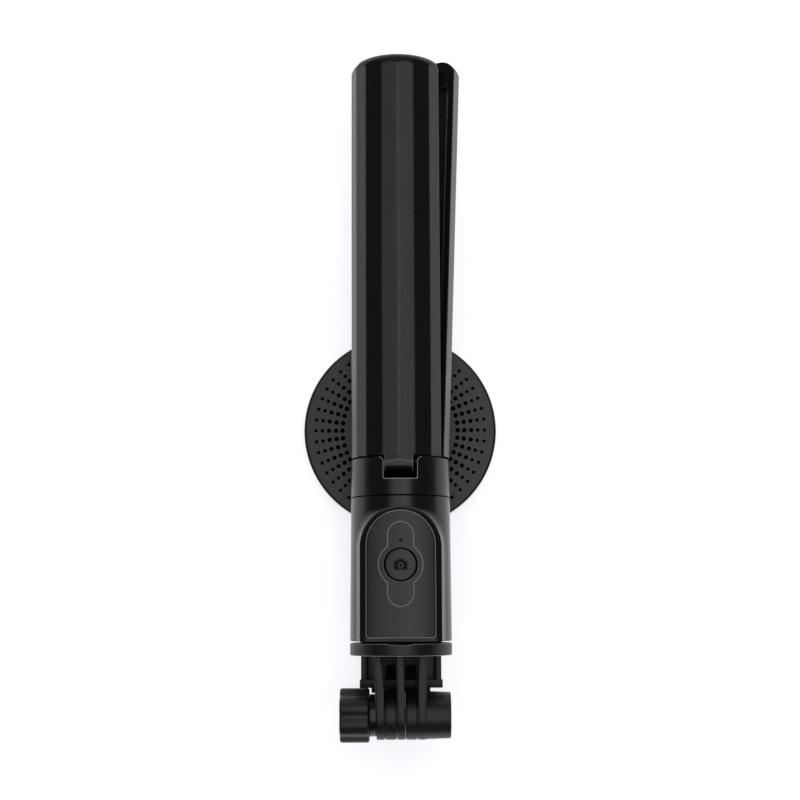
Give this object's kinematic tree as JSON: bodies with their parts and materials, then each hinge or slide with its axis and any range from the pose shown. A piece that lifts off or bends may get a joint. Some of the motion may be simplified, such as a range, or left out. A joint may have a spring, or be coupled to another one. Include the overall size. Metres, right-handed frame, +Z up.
{
  "type": "selfie_stick",
  "caption": "Folding selfie stick tripod with telescopic pole, shutter remote and a magnetic round phone plate on a hinged arm",
  "frame": {"origin": "centre of the phone plate's outer face, which the folded stick lies on", "axes": "+Z up out of the face through the plate, +Y along the stick towards the free ends of the tripod legs"},
  "size_m": [0.0636, 0.2183, 0.0443],
  "materials": {
    "satin_black": "satin moulded black",
    "grained_black": "fine grained black",
    "black_tube": "black anodised",
    "rubber": "matte",
    "steel": "plain",
    "magnet": "nickel plated",
    "board_green": "solder mask",
    "clear_plastic": "clear"
  },
  "bodies": {
    "handle": {"leg_collar": "satin_black", "handle_body": "satin_black", "outer_tube": "black_tube", "tube_cap": "satin_black", "leg_pin_front": "steel", "leg_pin_left": "steel", "leg_pin_right": "steel"},
    "leg_front": {"leg_front": "satin_black", "foot_pad_front": "rubber"},
    "leg_left": {"leg_left": "satin_black", "foot_pad_left": "rubber"},
    "leg_right": {"leg_right": "satin_black", "foot_pad_right": "rubber"},
    "pole_1": {"pole_section_1": "black_tube", "section_bush_1": "satin_black"},
    "pole_2": {"pole_section_2": "black_tube", "section_bush_2": "satin_black"},
    "pole_3": {"pole_section_3": "black_tube", "section_bush_3": "satin_black"},
    "pole_4": {"pole_section_4": "black_tube", "section_bush_4": "satin_black"},
    "head": {"pole_section_5": "black_tube", "section_bush_5": "satin_black", "head_flange": "grained_black", "lock_nut": "steel"},
    "clamp": {"clamp_screw": "steel", "thumb_knob": "satin_black"},
    "pivot_washer": {"knob_washer": "steel"},
    "arm": {"phone_arm": "grained_black", "swivel_washer": "steel"},
    "plate": {"plate_cover": "satin_black", "plate_base": "satin_black", "magnet_ring": "magnet", "shunt_ring": "steel", "phone_pad": "rubber", "swivel_stud": "steel"},
    "remote": {"remote_cover": "satin_black", "remote_tray": "satin_black", "circuit_board": "board_green", "dome_switch": "steel", "light_pipe": "clear_plastic", "coin_cell": "steel"},
    "button": {"shutter_button": "satin_black"}
  },
  "joints": [
    {"name": "front_leg_open", "type": "hinge", "parent": "handle", "child": "leg_front", "pos_m": [0, -0.0132, 0.0402], "axis": [1, 0, 0], "range_deg": [0, 60]},
    {"name": "left_leg_open", "type": "hinge", "parent": "handle", "child": "leg_left", "pos_m": [-0.01057, -0.0132, 0.0219], "axis": [-0.5, 0, 0.866], "range_deg": [0, 58]},
    {"name": "right_leg_open", "type": "hinge", "parent": "handle", "child": "leg_right", "pos_m": [0.01057, -0.0132, 0.0219], "axis": [-0.5, 0, -0.866], "range_deg": [0, 58]},
    {"name": "slide_1", "type": "slide", "parent": "handle", "child": "pole_1", "axis": [0, -1, 0], "range_m": [0, 0.145]},
    {"name": "slide_2", "type": "slide", "parent": "pole_1", "child": "pole_2", "axis": [0, -1, 0], "range_m": [0, 0.138]},
    {"name": "slide_3", "type": "slide", "parent": "pole_2", "child": "pole_3", "axis": [0, -1, 0], "range_m": [0, 0.13]},
    {"name": "slide_4", "type": "slide", "parent": "pole_3", "child": "pole_4", "axis": [0, -1, 0], "range_m": [0, 0.125]},
    {"name": "slide_5", "type": "slide", "parent": "pole_4", "child": "head", "axis": [0, -1, 0], "range_m": [0, 0.118]},
    {"name": "clamp_turn", "type": "hinge", "parent": "head", "child": "clamp", "pos_m": [-0.0145, -0.0913, 0.028], "axis": [1, 0, 0], "continuous": true},
    {"name": "arm_clear", "type": "hinge", "parent": "head", "child": "pivot_washer", "pos_m": [0, -0.0913, 0.028], "axis": [-1, 0, 0], "range_deg": [0, 87]},
    {"name": "arm_fold", "type": "hinge", "parent": "pivot_washer", "child": "arm", "pos_m": [0, -0.0913, 0.028], "axis": [1, 0, 0], "range_deg": [-200, 0]},
    {"name": "plate_swivel", "type": "hinge", "parent": "arm", "child": "plate", "pos_m": [0, 0, 0.008], "axis": [0, 0, 1], "continuous": true},
    {"name": "remote_lift", "type": "slide", "parent": "handle", "child": "remote", "axis": [0, 0, 1], "range_m": [0, 0.015]},
    {"name": "button_press", "type": "slide", "parent": "remote", "child": "button", "axis": [0, 0, -1], "range_m": [0, 0.00035], "stiffness_N_per_m": 400}
  ],
  "couplings": [
    {"joint": "left_leg_open", "follows": "arm_clear", "ratio": 0.6665},
    {"joint": "right_leg_open", "follows": "arm_clear", "ratio": 0.6665}
  ]
}
